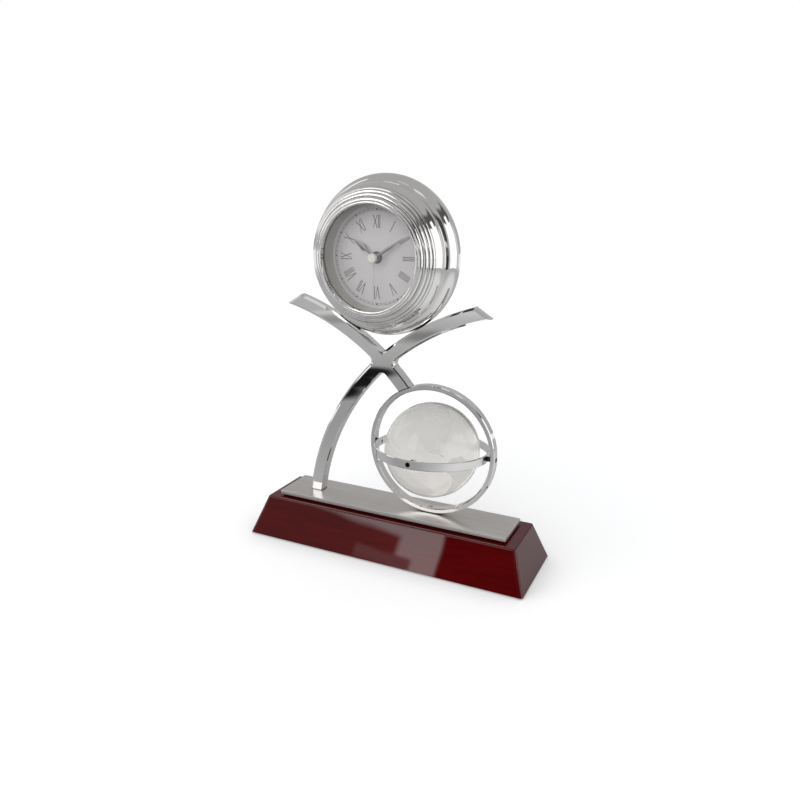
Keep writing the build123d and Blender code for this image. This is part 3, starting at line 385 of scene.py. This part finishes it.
def printed_ink():
    """Dark print, a little uneven."""
    material, tree, shader = new_material("dial_print")
    wear = object_noise(tree, scale=1200.0, detail=3.0)
    tint = ramp(tree, wear, (0.3, (0.045, 0.043, 0.046)), (0.8, (0.085, 0.082, 0.087)))
    tree.links.new(tint, shader.inputs["Base Color"])
    tree.links.new(spread(tree, wear, 0.4, 0.6), shader.inputs["Roughness"])
    return material


def hand_metal():
    """Hand metal with a painted highlight on facets that lean up and right and painted shade on the others.
    """
    material, tree, shader = new_material("hand_metal", Metallic=0.6)
    lines = object_noise(tree, scale=1500.0, detail=3.0)
    facing = node(tree, "ShaderNodeTexCoord").outputs["Normal"]
    # Painted light and shade: facets that lean down and left get a dark base colour, those that lean up and
    # right a light one.
    leaning = node(tree, "ShaderNodeVectorMath", operation="DOT_PRODUCT", inputs={0: facing, 1: painted_shade_lean})
    inputs = {"Value": leaning.outputs["Value"], "From Min": -0.1, "From Max": 0.1}
    side = node(tree, "ShaderNodeMapRange", inputs=inputs).outputs["Result"]
    tone = ramp(
        tree,
        side,
        (0.0, (0.36, 0.35, 0.33)),
        (0.5, (0.26, 0.25, 0.235)),
        (1.0, (0.13, 0.125, 0.115)),
    )
    wear = ramp(tree, lines, (0.3, (0.86, 0.86, 0.86)), (0.7, (1.0, 1.0, 1.0)))
    tree.links.new(tinted(tree, tone, wear), shader.inputs["Base Color"])
    tree.links.new(spread(tree, lines, 0.28, 0.40), shader.inputs["Roughness"])
    return material


def crystal():
    """Clear ground glass with the faintest unevenness."""
    material, tree, shader = new_material(
        "crystal", Transmission_Weight=1.0, IOR=1.49, Roughness=0.0, Base_Color=(0.648, 0.630, 0.608, 1.0)
    )
    bump(tree, shader, object_noise(tree, scale=30.0, detail=2.0), 0.02 * MM)
    return material


def frosted_land():
    """Etched land on the crystal: a thin pale matt veil that lets light through."""
    material, tree, shader = new_material(
        "frosted_land", Base_Color=(0.54, 0.54, 0.515, 1.0), Roughness=0.55, Specular_IOR_Level=0.2
    )
    etching = object_noise(tree, scale=260.0, detail=3.0)
    tree.links.new(spread(tree, etching, 0.24, 0.38), shader.inputs["Alpha"])
    bump(tree, shader, etching, 0.02 * MM)
    return material


def window_glass():
    """Flat clear glass that only shows by a faint reflection."""
    material, tree, shader = new_material("window_glass", Base_Color=white, IOR=1.45, Alpha=0.06)
    smudge = object_noise(tree, scale=40.0, detail=3.0)
    tree.links.new(spread(tree, smudge, 0.0, 0.05), shader.inputs["Roughness"])
    return material


def dress_nodes():
    """Gives every CAD node its material."""
    slots = {
        "felt": felt(),
        "lacquered_wood": lacquered_wood(),
        "black_pad": plastic("black_pad", (0.008, 0.008, 0.008), (0.02, 0.02, 0.02), 0.6),
        "brushed_plate": brushed_plate(),
        "chrome": chrome(),
        "steel": machined_steel("steel", (0.62, 0.62, 0.61), (0.48, 0.48, 0.47), 0.22),
        "black_steel": machined_steel("black_steel", (0.07, 0.068, 0.066), (0.02, 0.02, 0.022), 0.16),
        "crystal": crystal(),
        "window_glass": window_glass(),
        "rim": inner_rim(),
        "dial_face": dial_face(),
        "black_plastic": plastic("black_plastic", (0.014, 0.014, 0.015), (0.032, 0.032, 0.034), 0.42),
        "hand_metal": hand_metal(),
        "pale_metal": plastic("pale_metal", (0.52, 0.51, 0.50), (0.60, 0.59, 0.58), 0.3),
        "ivory": plastic("ivory", (0.66, 0.64, 0.56), (0.72, 0.70, 0.62), 0.3),
        "brass": machined_steel("brass", (0.75, 0.58, 0.28), (0.62, 0.46, 0.2), 0.25),
        "cell_jacket": plastic("cell_jacket", (0.40, 0.29, 0.12), (0.55, 0.42, 0.2), 0.3, grain=90.0),
        "wheel_plastic": plastic("wheel_plastic", (0.72, 0.71, 0.66), (0.82, 0.81, 0.76), 0.35),
        "board": plastic("board", (0.015, 0.11, 0.05), (0.03, 0.17, 0.075), 0.35),
        "copper": machined_steel("copper", (0.66, 0.32, 0.17), (0.42, 0.17, 0.08), 0.35),
    }
    for part in frame["record"]["subparts"]:
        mesh = nodes[part["node"]].data
        mesh.materials.clear()
        mesh.materials.append(slots[part["material_slot"]])
    return slots


# Mesh helpers

def new_piece(name, mesh, material, body):
    """Piece of the scene that rides on a body and has one material."""
    made = bpy.data.objects.new(name, mesh)
    bpy.context.scene.collection.objects.link(made)
    mesh.materials.append(material)
    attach(made, body)
    return made


def centre_of(name):
    """Middle of a node's box."""
    low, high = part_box(name)
    return (low + high) / 2


def clock_point(centre, right, up, front):
    """Point given by how far it lies right of and above the clock's centre, at a depth in the frame."""
    return Vector((centre.x + right, front, centre.z + up))


# Dial print

def stroke(start, end, width):
    """Four corners of a straight stroke whose ends are cut level."""
    half = width / 2
    return [
        (start[0] - half, start[1]),
        (start[0] + half, start[1]),
        (end[0] + half, end[1]),
        (end[0] - half, end[1]),
    ]


def letter_strokes(letter, left):
    """Strokes of one numeral letter from its left edge: place at the low end, at the high end, width."""
    right = left + numeral_lean
    if letter == "I":
        middle = left + bold_stroke / 2
        return [(middle, middle, bold_stroke)], bold_stroke
    if letter == "V":
        foot = (left + right) / 2
        return [(foot, left, lean_stroke), (foot, right, fine_stroke)], numeral_lean
    return [(right, left, lean_stroke), (left, right, fine_stroke)], numeral_lean


def numeral_strokes(text):
    """All strokes of a numeral, centred on the radius, with a short serif at each end."""
    strokes, left = [], 0.0
    for letter in text:
        made, width = letter_strokes(letter, left)
        for low_x, high_x, thick in made:
            strokes.append(stroke((low_x, numeral_inner), (high_x, numeral_outer), thick))
            serif = thick + 2 * serif_reach
            for x, level in ((low_x, numeral_inner), (high_x, numeral_outer - serif_stroke)):
                strokes.append(stroke((x, level), (x, level + serif_stroke), serif))
        left += width + stroke_gap
    width = left - stroke_gap
    return [[(x - width / 2, y) for x, y in corners] for corners in strokes]


def turned(point, angle):
    """Point of the twelve o'clock place carried round clockwise."""
    x, y = point
    return (x * math.cos(angle) + y * math.sin(angle), y * math.cos(angle) - x * math.sin(angle))


def circle(radius, steps):
    """Points round a circle."""
    angles = [2 * math.pi * index / steps for index in range(steps)]
    return [(radius * math.cos(angle), radius * math.sin(angle)) for angle in angles]


def add_plate(mesh, corners, centre, back):
    """Thin printed plate on the dial, from its outline seen from the front."""
    front = [mesh.verts.new(clock_point(centre, x, y, back - print_thickness)) for x, y in corners]
    rear = [mesh.verts.new(clock_point(centre, x, y, back)) for x, y in corners]
    mesh.faces.new(front)
    mesh.faces.new(list(reversed(rear)))
    for index in range(len(corners)):
        after = (index + 1) % len(corners)
        mesh.faces.new((front[after], front[index], rear[index], rear[after]))


def add_ring(mesh, inner, outer, centre, back):
    """Thin printed ring, as short plates."""
    for index in range(track_steps):
        start, end = 2 * math.pi * index / track_steps, 2 * math.pi * (index + 1) / track_steps
        places = ((inner, start), (outer, start), (outer, end), (inner, end))
        add_plate(mesh, [turned((0, radius), angle) for radius, angle in places], centre, back)


def finish_mesh(built, name):
    """Mesh from what was built, with its faces turned outward."""
    bmesh.ops.recalc_face_normals(built, faces=built.faces)
    mesh = bpy.data.meshes.new(name)
    built.to_mesh(mesh)
    built.free()
    return mesh


def make_dial_print(ink):
    """Roman numerals that stand on the radius, and the minute track around them."""
    centre = centre_of("dial")
    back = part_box("dial")[0].y
    numbers = bmesh.new()
    for hour, text in enumerate(numerals):
        angle = 2 * math.pi * hour / len(numerals)
        for corners in numeral_strokes(text):
            add_plate(numbers, [turned(corner, angle) for corner in corners], centre, back)
    new_piece("dial_numerals", finish_mesh(numbers, "dial_numerals"), ink, "stand")

    track = bmesh.new()
    add_ring(track, track_inner, track_inner + track_line, centre, back)
    add_ring(track, track_outer - track_line, track_outer, centre, back)
    for minute in range(minutes):
        angle = 2 * math.pi * minute / minutes
        if minute % minutes_apart:
            corners = stroke((0, track_inner), (0, track_outer), tick_width)
        else:
            middle = (track_inner + track_outer) / 2
            corners = [(x, middle + y) for x, y in circle(dot_radius, dot_steps)]
        add_plate(track, [turned(corner, angle) for corner in corners], centre, back)
    new_piece("minute_track", finish_mesh(track, "minute_track"), ink, "stand")


# Hands

def add_hub(mesh, radius, centre, front, back):
    """Round hub of a hand."""
    edge = circle(radius, hub_steps)
    fore = [mesh.verts.new(clock_point(centre, x, y, front)) for x, y in edge]
    rear = [mesh.verts.new(clock_point(centre, x, y, back)) for x, y in edge]
    mesh.faces.new(fore)
    mesh.faces.new(list(reversed(rear)))
    for index in range(hub_steps):
        after = (index + 1) % hub_steps
        mesh.faces.new((fore[index], fore[after], rear[after], rear[index]))


def make_hand(name, cad_node, body, shape, material):
    """Leaf hand with a ridge along its middle and two facets that catch the light differently, helped by
    painted light and shade in the hand material.
    """
    centre = centre_of("dial")
    low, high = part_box(cad_node)
    front, back = low.y, high.y
    edge = front + (back - front) * facet_rise_share
    angle = math.radians(shape["angle"])
    stem, leaf = shape["waist"] / 2, shape["width"] / 2
    profile = [(stem, 0.0), (stem, shape["neck"]), (leaf, shape["belly"])]
    built = bmesh.new()

    def vertex(x, y, depth):
        return built.verts.new(clock_point(centre, *turned((x, y), angle), depth))

    tip_y = shape["length"]
    ridge = [vertex(0, y, front) for _, y in profile]
    tip, tip_back = vertex(0, tip_y, edge), vertex(0, tip_y, back)
    for side in (-1, 1):
        rim = [vertex(side * x, y, edge) for x, y in profile]
        rear = [vertex(side * x, y, back) for x, y in profile]
        for i in range(len(profile) - 1):
            built.faces.new((ridge[i], ridge[i + 1], rim[i + 1], rim[i]))
            built.faces.new((rim[i], rim[i + 1], rear[i + 1], rear[i]))
        built.faces.new((ridge[-1], tip, rim[-1]))
        built.faces.new((rim[-1], tip, tip_back, rear[-1]))
        middle = [vertex(0, y, back) for _, y in profile]
        for i in range(len(profile) - 1):
            built.faces.new((rear[i], rear[i + 1], middle[i + 1], middle[i]))
        built.faces.new((rear[-1], tip_back, middle[-1]))
    add_hub(built, shape["hub"], centre, front, back)
    bmesh.ops.remove_doubles(built, verts=built.verts, dist=weld_distance)
    piece = new_piece(name, finish_mesh(built, name), material, body)
    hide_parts(cad_node)


# Globe

def outline(*places):
    """Outline of a land mass, as longitude and latitude in degrees."""
    return [(math.radians(east), math.radians(north)) for east, north in places]


lands = [
    outline(
        (-168, 66), (-156, 71), (-125, 70), (-95, 72), (-82, 68), (-94, 60), (-80, 52), (-78, 62),
        (-64, 60), (-56, 52), (-66, 44), (-76, 36), (-81, 26), (-90, 30), (-97, 22), (-88, 20), (-83, 10),
        (-78, 8), (-92, 14), (-105, 20), (-113, 28), (-124, 40), (-130, 54), (-150, 60),
    ),
    outline(
        (-78, 8), (-62, 10), (-50, 0), (-35, -6), (-39, -18), (-48, -27), (-58, -38), (-66, -48),
        (-70, -54), (-75, -46), (-71, -30), (-71, -18), (-81, -5),
    ),
    outline((-55, 60), (-40, 66), (-22, 72), (-30, 83), (-60, 82), (-70, 77), (-54, 70)),
    outline(
        (-6, 35), (10, 37), (20, 31), (33, 31), (43, 12), (51, 11), (41, -3), (40, -16), (33, -27),
        (20, -35), (13, -18), (9, 2), (-8, 5), (-17, 14), (-13, 27),
    ),
    outline(
        (-9, 37), (-9, 43), (-1, 46), (-4, 49), (8, 54), (11, 58), (5, 61), (18, 70), (40, 67), (60, 70),
        (75, 72), (105, 77), (140, 73), (178, 68), (162, 60), (142, 59), (138, 52), (128, 42), (122, 38),
        (121, 28), (108, 20), (108, 11), (103, 2), (98, 12), (90, 22), (80, 14), (77, 8), (72, 20),
        (60, 25), (54, 16), (44, 13), (36, 28), (36, 36), (26, 38), (18, 41), (8, 44), (0, 38),
    ),
    outline(
        (113, -22), (122, -17), (131, -12), (142, -11), (146, -19), (153, -27), (147, -38), (136, -34),
        (124, -33), (115, -34),
    ),
    outline((131, -1), (141, -3), (150, -9), (142, -9), (134, -5)),
    outline((96, 5), (104, -2), (112, -8), (117, 2), (109, 2)),
    outline((43, -13), (50, -16), (46, -25), (43, -22)),
    outline((166, -46), (172, -35), (178, -38), (170, -46)),
    outline((130, 31), (140, 36), (145, 44), (141, 42), (135, 35)),
    outline((-6, 50), (1, 52), (-2, 58), (-6, 56)),
]


def in_land(east, north):
    """Whether a place lies inside a land outline, by the crossings of its parallel."""
    for land in lands:
        inside = False
        for (east_a, north_a), (east_b, north_b) in zip(land, land[1:] + land[:1]):
            if (north_a > north) != (north_b > north):
                if east < east_a + (north - north_a) * (east_b - east_a) / (north_b - north_a):
                    inside = not inside
        if inside:
            return True
    return north < south_cap


def globe_direction(east, north):
    """Direction of a place from the globe's centre."""
    return Vector((math.cos(north) * math.cos(east), math.cos(north) * math.sin(east), math.sin(north)))


def make_land(material):
    """Etched land masses as a thin skin over the crystal, with uneven coasts."""
    low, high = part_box("crystal_globe")
    centre = centre_of("crystal_globe")
    radius = (high.x - low.x) / 2 + land_lift
    built = bmesh.new()
    corners = {}
    noise.seed_set(coast_seed)

    def corner(row, column):
        key = (row, column % land_columns)
        if key not in corners:
            east, north = 2 * math.pi * key[1] / land_columns, math.pi * (row / land_rings - 0.5)
            corners[key] = built.verts.new(centre + radius * globe_direction(east, north))
        return corners[key]

    for row in range(1, land_rings - 1):
        north = math.pi * ((row + 0.5) / land_rings - 0.5)
        for column in range(land_columns):
            east = 2 * math.pi * (column + 0.5) / land_columns
            shift = noise.noise_vector(globe_direction(east, north) * coast_scale) * coast_roughness
            turned_east = (east + globe_turn + math.pi) % (2 * math.pi) - math.pi
            if in_land(turned_east + shift.x, north + shift.y):
                places = ((row, column), (row, column + 1), (row + 1, column + 1), (row + 1, column))
                built.faces.new([corner(*place) for place in places])
    mesh = finish_mesh(built, "globe_land")
    mesh.shade_smooth()
    new_piece("globe_land", mesh, material, "globe")


# Studio

def white_rays(tree):
    """1 for rays that see the studio white: from the camera, and through glass."""
    path = node(tree, "ShaderNodeLightPath").outputs
    return calc(tree, "MAXIMUM", path["Is Camera Ray"], path["Is Transmission Ray"])


def degrees(tree, operation, *values):
    """Angle in degrees, from an operation that gives radians."""
    return calc(tree, "MULTIPLY", calc(tree, operation, *values), 180 / math.pi)


def toward(tree, value, level, share):
    """Value moved toward a level by a share."""
    return calc(tree, "MULTIPLY_ADD", share, calc(tree, "SUBTRACT", level, value), value)


def distance_from(tree, place, x, y):
    """Distance of a place from a point on the floor."""
    made = node(tree, "ShaderNodeVectorMath", operation="DISTANCE", inputs={0: place, 1: (x, y, 0.0)})
    return made.outputs["Value"]


def floor_tone(tree, place):
    """Tone of the floor for metal and lacquer: by distance, with patches and sectors."""
    away = distance_from(tree, place, 0.0, 0.0)
    tone = ease(tree, away, floor_tone_from, floor_tone_to, floor_tone_near, floor_tone_far)
    for centre, near, far, factor in floor_patches:
        patch = ease(tree, distance_from(tree, place, *centre), near, far, factor, 1.0)
        tone = calc(tree, "MULTIPLY", tone, patch)
    parts = node(tree, "ShaderNodeSeparateXYZ", inputs={0: place}).outputs
    around = degrees(tree, "ARCTAN2", parts[0], parts[1])
    for start, end, reach, level in floor_sectors:
        beyond = ease(tree, away, reach - sector_start_softness, reach + sector_start_softness)
        share = calc(tree, "MULTIPLY", beyond, between(tree, around, start, end, sector_softness))
        tone = toward(tree, tone, level, share)
    return tone


def make_floor():
    """White floor that keeps the clock's shadow and has a painted contact shadow where the clock stands."""
    mesh = bpy.data.meshes.new("floor")
    corners = [(x * floor_size, y * floor_size, 0) for x, y in ((-1, -1), (1, -1), (1, 1), (-1, 1))]
    mesh.from_pydata(corners, [], [(0, 1, 2, 3)])
    floor = bpy.data.objects.new("floor", mesh)
    bpy.context.scene.collection.objects.link(floor)
    material = bpy.data.materials.new("floor")
    material.use_nodes = True
    tree = material.node_tree
    tree.nodes.clear()
    # Painted contact shadow: the floor colour darkens where the clock stands close above it.
    painted_contact_shadow = ramp(tree, openness(tree, contact_distance, 16), (0.50, contact_shade), (0.97, floor_white))
    seen = node(tree, "ShaderNodeBsdfDiffuse", inputs={"Color": painted_contact_shadow}).outputs[0]
    glow = node(tree, "ShaderNodeEmission", inputs={"Color": white, "Strength": floor_glow}).outputs[0]
    lit = node(tree, "ShaderNodeAddShader", inputs={0: seen, 1: glow}).outputs[0]
    place = node(tree, "ShaderNodeTexCoord").outputs["Object"]
    toned = node(tree, "ShaderNodeBsdfDiffuse", inputs={"Color": floor_tone(tree, place)}).outputs[0]
    mixed = node(tree, "ShaderNodeMixShader", inputs={0: white_rays(tree), 1: toned, 2: lit}).outputs[0]
    node(tree, "ShaderNodeOutputMaterial", inputs={"Surface": mixed})
    mesh.materials.append(material)


def room_tone(tree):
    """Level of the room in each direction, card by card."""
    direction = node(tree, "ShaderNodeTexCoord").outputs["Generated"]
    parts = node(tree, "ShaderNodeSeparateXYZ", inputs={0: direction}).outputs
    around = degrees(tree, "ARCTAN2", parts[0], parts[1])
    height = degrees(tree, "ARCSINE", parts[2])
    room = room_level
    for start, end, bottom, top, softness, level in room_cards:
        across = between(tree, around, start, end, softness)
        share = calc(tree, "MULTIPLY", across, between(tree, height, bottom, top, softness))
        room = toward(tree, room, level, share)
    return room


def make_world():
    """White backdrop for the camera; metal and lacquer see a grey room with cards."""
    world = bpy.data.worlds.new("studio")
    bpy.context.scene.world = world
    world.use_nodes = True
    tree = world.node_tree
    tree.nodes.clear()
    room = room_tone(tree)
    grey = node(tree, "ShaderNodeCombineXYZ", inputs={0: room, 1: room, 2: room}).outputs[0]

    def background(colour, level):
        return node(tree, "ShaderNodeBackground", inputs={"Color": colour, "Strength": level}).outputs[0]

    glossy = node(tree, "ShaderNodeLightPath").outputs["Is Glossy Ray"]
    inputs = {0: glossy, 1: background(fill_colour, fill_level), 2: background(grey, 1.0)}
    other = node(tree, "ShaderNodeMixShader", inputs=inputs).outputs[0]
    inputs = {0: white_rays(tree), 1: other, 2: background(white, 1.0)}
    mixed = node(tree, "ShaderNodeMixShader", inputs=inputs).outputs[0]
    node(tree, "ShaderNodeOutputWorld", inputs={"Surface": mixed})


def make_lights():
    """Wide soft light from far away, the same all over the floor."""
    for name, direction, angle, strength in lamps:
        data = bpy.data.lights.new(name, "SUN")
        data.energy = strength
        data.angle = math.radians(angle)
        lamp = bpy.data.objects.new(name, data)
        bpy.context.scene.collection.objects.link(lamp)
        lamp.rotation_euler = Vector(direction).to_track_quat("Z", "Y").to_euler()
        lamp.visible_glossy = False


def make_camera():
    """Camera at the photograph's place, turned by its yaw, pitch and roll."""
    forward = Vector((
        -math.sin(camera_yaw) * math.cos(camera_pitch),
        math.cos(camera_yaw) * math.cos(camera_pitch),
        -math.sin(camera_pitch),
    ))
    level = forward.cross(Vector((0, 0, 1))).normalized()
    upright = level.cross(forward)
    right = level * math.cos(camera_roll) + upright * math.sin(camera_roll)
    up = upright * math.cos(camera_roll) - level * math.sin(camera_roll)
    data = bpy.data.cameras.new("camera")
    data.lens = camera_lens
    data.clip_start = camera_near
    camera = bpy.data.objects.new("camera", data)
    bpy.context.scene.collection.objects.link(camera)
    turn = Matrix((right, up, -forward)).transposed()
    camera.matrix_world = Matrix.Translation(camera_place) @ turn.to_4x4()
    bpy.context.scene.camera = camera


make_camera()
slots = dress_nodes()
make_dial_print(printed_ink())
make_hand("hour_hand_leaf", "hour_hand", "hour_hand", hour_hand, slots["hand_metal"])
make_hand("minute_hand_leaf", "minute_hand", "minute_hand", minute_hand, slots["hand_metal"])
make_land(frosted_land())
make_floor()
make_world()
make_lights()
bpy.context.scene.view_settings.view_transform = "Standard"
